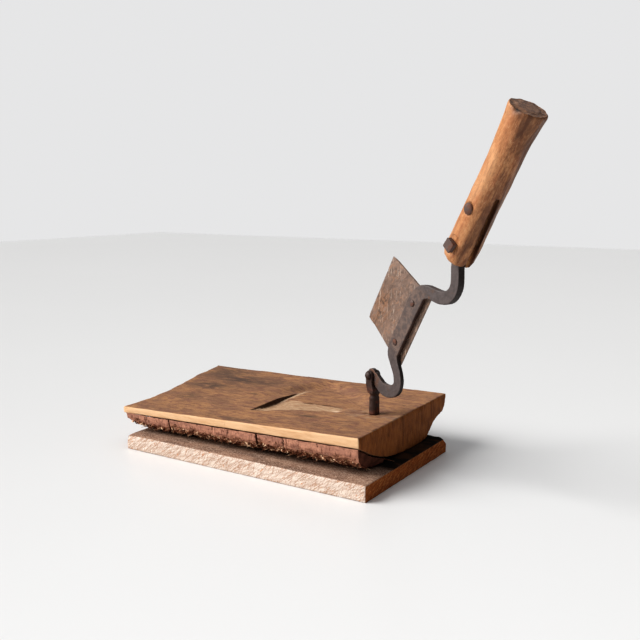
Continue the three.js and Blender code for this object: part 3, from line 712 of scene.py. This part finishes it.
def build_fibres(node, count, seed, material):
    """Flakes of bark and strips of bast that hang and stick out along its lower edge."""
    random = np.random.default_rng(seed)
    bark = bpy.data.objects[node + "_worn"].data
    points = read_vectors(bark.vertices, "co")
    normals = read_vectors(bark.vertex_normals, "vector")
    low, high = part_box(node)
    edge_height = low[2] + 0.5 * (high[2] - low[2])
    usable = np.flatnonzero((points[:, 2] < edge_height) & (normals[:, 1] < -0.35))
    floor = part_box("base_board")[1][2] + 0.5 * MM
    verts, faces = [], []
    for number, pick in enumerate(random.choice(usable, count)):
        heading = fibre_heading(random)
        length, width, thickness = fibre_size(number % 5 > 1, random)
        droop = random.uniform(0, 2) * MM
        curl = random.uniform(-0.5, 0.5)
        path = fibre_path(points[pick], heading, length, droop, curl)
        path[:, 2] = np.maximum(path[:, 2], floor)
        faces += fibre_faces(len(verts), len(path))
        verts += fibre_rings(path, width, thickness, random)
    mesh = bpy.data.meshes.new(node + "_fibres")
    mesh.from_pydata([tuple(vert) for vert in verts], [], faces)
    piece = new_piece(node + "_fibres", mesh)
    keep_above(piece, floor)
    return dress(piece, material, "base", "bark")


# ---- iron ------------------------------------------------------------------------------------------
def build_iron(node, cell, body, slot, material, place=Matrix.Identity(4), dents=0.2 * MM, marks=None):
    """A forged piece: its CAD shape with the corners rounded and the faces slightly dented."""
    piece = even_copy(node, cell, place)
    if marks:
        marks(piece)

    def wear(points, normals):
        rough = lumps(points, 9 * MM, 3) + 0.4 * lumps(points, 2.5 * MM, 2, 4)
        return -normals * (dents * (rough + 1))[:, None]

    move_points(piece, wear)
    return dress(piece, material, body, slot, node)


def paint_arm(piece):
    """The bar's sides facing away from the blade's edge are painted dark as shade, its flat part has
    browned with the blade, its eye has rusted.
    """
    points = read_vectors(piece.data.vertices, "co")
    normals = read_vectors(piece.data.vertex_normals, "vector")
    narrow = smooth(np.abs(normals[:, 2]), 0.75, 0.35) * smooth(normals[:, 1], 0.5, 0)
    along = smooth(points[:, 0], 44 * MM, 60 * MM) * smooth(points[:, 0], 150 * MM, 132 * MM)
    from_pin = np.hypot(points[:, 0], points[:, 1])
    rusted = 0.8 * smooth(from_pin, 22 * MM, 8 * MM) * smooth(normals[:, 2], 0.3, 0.7)
    paint(piece, narrow=narrow, patina=along * (points[:, 1] > -30 * MM), rusted=rusted)


def paint_blade(piece):
    """Masks for the rust in the middle, the grey under the bar and the bright cutting edge."""
    points = read_vectors(piece.data.vertices, "co")
    flat = points * (1, 1, 0)
    across = points[:, 1]
    edge_at = across.max()
    paint(
        piece,
        rusted=1.3 * near(flat, (74 * MM, 36 * MM, 0), (26 * MM, 17 * MM, MM)),
        grey=smooth(across, 8 * MM, -4 * MM) * smooth(across, -20 * MM, -14 * MM),
        edge=smooth(across, edge_at - 1.4 * MM, edge_at - 0.5 * MM),
    )


def blade_wear(points, normals):
    """A slight warp, nicks along the edge, its lower corner rounded off and uneven sides."""
    flat = points * (1, 1, 0)
    along, across = points[:, 0], points[:, 1]
    low, high, edge_at = along.min(), along.max(), across.max()
    move = np.zeros_like(points)
    move[:, 2] = 0.25 * MM * lumps(flat, 34 * MM, 2) * smooth(across, -5 * MM, 20 * MM)
    nicks = smooth(lumps(flat, 5 * MM, 4, 6), 0.1, 0.8)
    move[:, 1] -= 0.9 * MM * nicks * smooth(across, edge_at - 3 * MM, edge_at)
    corner = near(flat, (low + 6 * MM, edge_at, 0), (4 * MM, 5 * MM, MM))
    move[:, :2] += corner[:, None] * np.array([1.2, -1.0]) * MM
    side = smooth(along, low + 9 * MM, low) + smooth(along, high - 3 * MM, high)
    inward = np.sign((low + high) / 2 - along) * side
    move[:, 0] += 0.35 * MM * inward * (lumps(flat, 12 * MM, 3, 9) + 0.6)
    return move


def build_blade(material):
    """The blade, its CAD edges kept sharp but for a tiny bevel."""
    piece = sliced_copy("blade", 1.6 * MM, LEVER)
    paint_blade(piece)
    move_points(piece, blade_wear)
    bevel = piece.modifiers.new("worn_edges", "BEVEL")
    bevel.width = 0.15 * MM
    bevel.segments = 2
    bevel.angle_limit = math.radians(50)
    return dress(piece, material, "lever", "blade_steel", "blade")


def handle_places(points):
    """The handle's ends, each point's place from its middle line, and 1 on its outside."""
    from_axis = points - (0, HANDLE_AXIS, 0)
    outside = smooth(np.hypot(from_axis[:, 1], from_axis[:, 2]), 10 * MM, 14 * MM)
    return points[:, 0].min(), points[:, 0].max(), from_axis, outside


def handle_chip(points, end, reach):
    """1 where a chip is broken out of the rim of the handle's free end."""
    return near(points, (end, HANDLE_AXIS - 4 * MM, 18 * MM), reach)


def paint_handle(piece, points, normals):
    start, end, from_axis, outside = handle_places(points)
    cap = smooth(normals[:, 0], 0.5, 0.85) * (points[:, 0] > end - 12 * MM)
    # Near black: dirt in the chip at the free end, and painted shade in the slot for the bar.
    dirt = 1.3 * handle_chip(points, end, (4.5 * MM, 5 * MM, 5 * MM))
    middle = np.interp(points[:, 0], [start, start + 24 * MM, start + 82 * MM], [-1.7 * MM, 0, MM])
    slot = smooth(np.abs(points[:, 2] - middle), 4.4 * MM, 3.2 * MM) * (points[:, 0] < start + 84 * MM)
    # Painted shade darkens the side away from the blade, and a little of the side toward it.
    rear, front = -from_axis[:, 1], from_axis[:, 1]
    grime = 1.4 * smooth(rear, 6 * MM, 17 * MM) + 0.3 * smooth(front, 12 * MM, 17 * MM)
    # A dark band of hand dirt and painted shade runs round the end on the side away from the blade.
    band = smooth(points[:, 0], end - 16 * MM, end - 3 * MM) * smooth(rear, 0, 11 * MM)
    grime = np.maximum(grime, 1.2 * band) * outside
    # A lighter band down the middle of the broad faces: polish and a painted highlight.
    polish = outside * smooth(np.abs(front - 2 * MM), 15 * MM, 6 * MM)
    paint(piece, cap=cap, dirt=np.maximum(dirt, 0.45 * slot), grime=grime, polish=polish)


def handle_wear(points, normals):
    """Whittled facets that wander, soft dents, the chip, a worn rim and a broken lower rear edge."""
    start, end, from_axis, outside = handle_places(points)
    angle = np.arctan2(from_axis[:, 2], from_axis[:, 1])
    drift = 1.4 * lumps(points * (1, 0, 0), 60 * MM, 2)
    facets = 0.5 + 0.5 * np.cos(9 * angle + 3 * drift)
    depth = 0.55 * MM * facets * outside
    depth += 0.45 * MM * (lumps(points, (40 * MM, 11 * MM, 11 * MM), 3, 2) + 1) * outside
    depth += 3.4 * MM * handle_chip(points, end, (6 * MM, 5 * MM, 5 * MM))
    depth += 0.8 * MM * smooth(points[:, 0], end - 2.5 * MM, end)
    move = -normals * depth[:, None]
    rear = smooth(points[:, 2], -2.5 * MM, -4.5 * MM) * smooth(points[:, 0], start + 14 * MM, start)
    move[:, 0] -= 3.5 * MM * rear
    return move


def build_handle(material):
    piece = even_copy("handle", 0.85 * MM, LEVER)
    points = read_vectors(piece.data.vertices, "co")
    normals = read_vectors(piece.data.vertex_normals, "vector")
    paint_handle(piece, points, normals)
    move_points(piece, handle_wear)
    return dress(piece, material, "lever", "handle_wood", "handle")


def build_object():
    """All 20 pieces. The nails and the washer, which are hidden, keep their CAD meshes."""
    forged = iron_look("forged_iron", (0.105, 0.084, 0.081), (0.14, 0.078, 0.052), 0.3, 0.2)
    rusty = iron_look("rusty_iron", (0.052, 0.029, 0.024), (0.13, 0.042, 0.024), 0.45, 0.1)
    worn = iron_look("worn_iron", (0.125, 0.085, 0.075), (0.15, 0.062, 0.038), 0.55, 0.2)
    build_board(plank_look())
    build_slab(slab_look())
    bark = bark_look()
    fibres = fibre_look()
    for number, (node, cracks) in enumerate(BARK_CRACKS.items()):
        build_bark(node, cracks, bark)
        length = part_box(node)[1][0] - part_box(node)[0][0]
        build_fibres(node, round(3.6 * length / MM), number, fibres)
    for node in frame["nodes"]:
        if node.startswith("slab_nail") or node == "post_washer":
            cad = frame["nodes"][node]
            cad.data.materials.clear()
            cad.data.materials.append(rusty)
    build_iron("pivot_post", 0.6 * MM, "post", "rusty_iron", rusty)
    build_iron("pivot_rivet", 0.45 * MM, "post", "rusty_iron", rusty, dents=0.12 * MM)
    build_iron("lever_arm", 0.7 * MM, "lever", "forged_iron", forged, LEVER, marks=paint_arm)
    for node in ("blade_rivet_lower", "blade_rivet_upper", "handle_bolt", "bolt_rove", "handle_rivet"):
        build_iron(node, 0.4 * MM, "lever", "rusty_iron", worn, LEVER, 0.1 * MM)
    build_blade(blade_look())
    build_handle(handle_look())


# ---- stage -----------------------------------------------------------------------------------------
def build_stage():
    """A plain pale floor."""
    mesh = bpy.data.meshes.new("floor")
    half = 4.0
    corners = [(-half, -half, 0), (half, -half, 0), (half, half, 0), (-half, half, 0)]
    mesh.from_pydata(corners, [], [(0, 1, 2, 3)])
    floor = new_piece("floor", mesh)
    look = Look("floor_white")
    cloud = look.noise((0.9, 0.9, 0.9), 2)
    colour = look.mix(cloud, (0.755, 0.76, 0.768), (0.775, 0.78, 0.788))
    mesh.materials.append(look.finish(colour, 0.35, gloss=0.3))


def sun(name, toward, angle, strength, colour=(1, 1, 1)):
    """Soft light that comes from the direction `toward`, as from a window or lamp that wide."""
    data = bpy.data.lights.new(name, "SUN")
    data.angle = math.radians(angle)
    data.energy = strength
    data.color = colour
    light = bpy.data.objects.new(name, data)
    bpy.context.scene.collection.objects.link(light)
    light.rotation_euler = Vector(toward).to_track_quat("Z", "Y").to_euler()


def build_lights():
    lit_by = 0.16
    seen_as = 0.84
    sun("window", (-1.2, -0.85, 1.0), 44, 3.9, (1.0, 0.985, 0.96))
    sun("ceiling", (-0.2, 0.3, 1.0), 90, 0.75)
    world = bpy.data.worlds.new("studio")
    world.use_nodes = True
    tree = world.node_tree
    tree.nodes["Background"].inputs["Color"].default_value = (0.80, 0.80, 0.805, 1)
    # The backdrop looks pale from every side, but gives the object only a little light.
    seen = tree.nodes.new("ShaderNodeLightPath")
    strength = tree.nodes.new("ShaderNodeMapRange")
    strength.inputs["To Min"].default_value = lit_by
    strength.inputs["To Max"].default_value = seen_as
    tree.links.new(seen.outputs["Is Camera Ray"], strength.inputs["Value"])
    tree.links.new(strength.outputs[0], tree.nodes["Background"].inputs["Strength"])
    bpy.context.scene.world = world


def build_camera():
    """A camera that is level from side to side and pitched down a little."""
    data = bpy.data.cameras.new("camera")
    data.lens = 46.39
    data.sensor_width = 36
    camera = bpy.data.objects.new("camera", data)
    bpy.context.scene.collection.objects.link(camera)
    camera.location = (0.5835, -0.8330, 0.32845)
    pitch = math.radians(8.95)
    level = Vector((-0.538, 0.843, 0)).normalized()
    ahead = level * math.cos(pitch) - UP * math.sin(pitch)
    camera.rotation_euler = ahead.to_track_quat("-Z", "Y").to_euler()
    bpy.context.scene.camera = camera


build_camera()
build_lights()
build_stage()
build_object()

bpy.context.scene.view_settings.view_transform = "Standard"
bpy.context.scene.view_settings.look = "Medium High Contrast"
